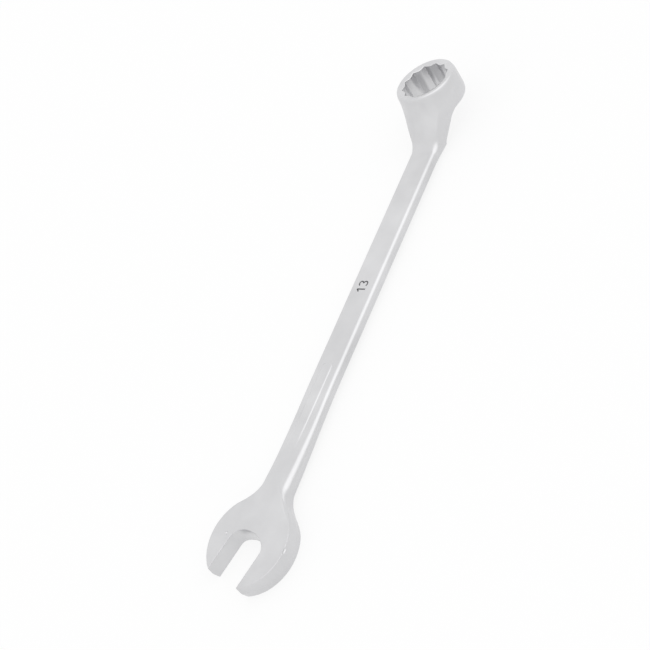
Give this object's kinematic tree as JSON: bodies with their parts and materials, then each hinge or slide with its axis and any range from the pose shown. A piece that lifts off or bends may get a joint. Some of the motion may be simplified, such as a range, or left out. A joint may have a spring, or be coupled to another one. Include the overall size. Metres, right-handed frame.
{
  "type": "combination wrench",
  "caption": "Forged combination wrench: an open end leaning to one side, a flat shank, and a raised twelve-point ring end for the same hexagon.",
  "frame": {"origin": "centre of the bounding box in plan, at the height of the open end's underside", "axes": "+X from the open end to the ring, +Y the side that the open end leans to, +Z the side that the ring is raised towards"},
  "size_m": [0.1709, 0.0284, 0.0176],
  "materials": {
    "chrome": "satin"
  },
  "bodies": {
    "root": {"wrench_forging": "chrome"}
  },
  "joints": []
}
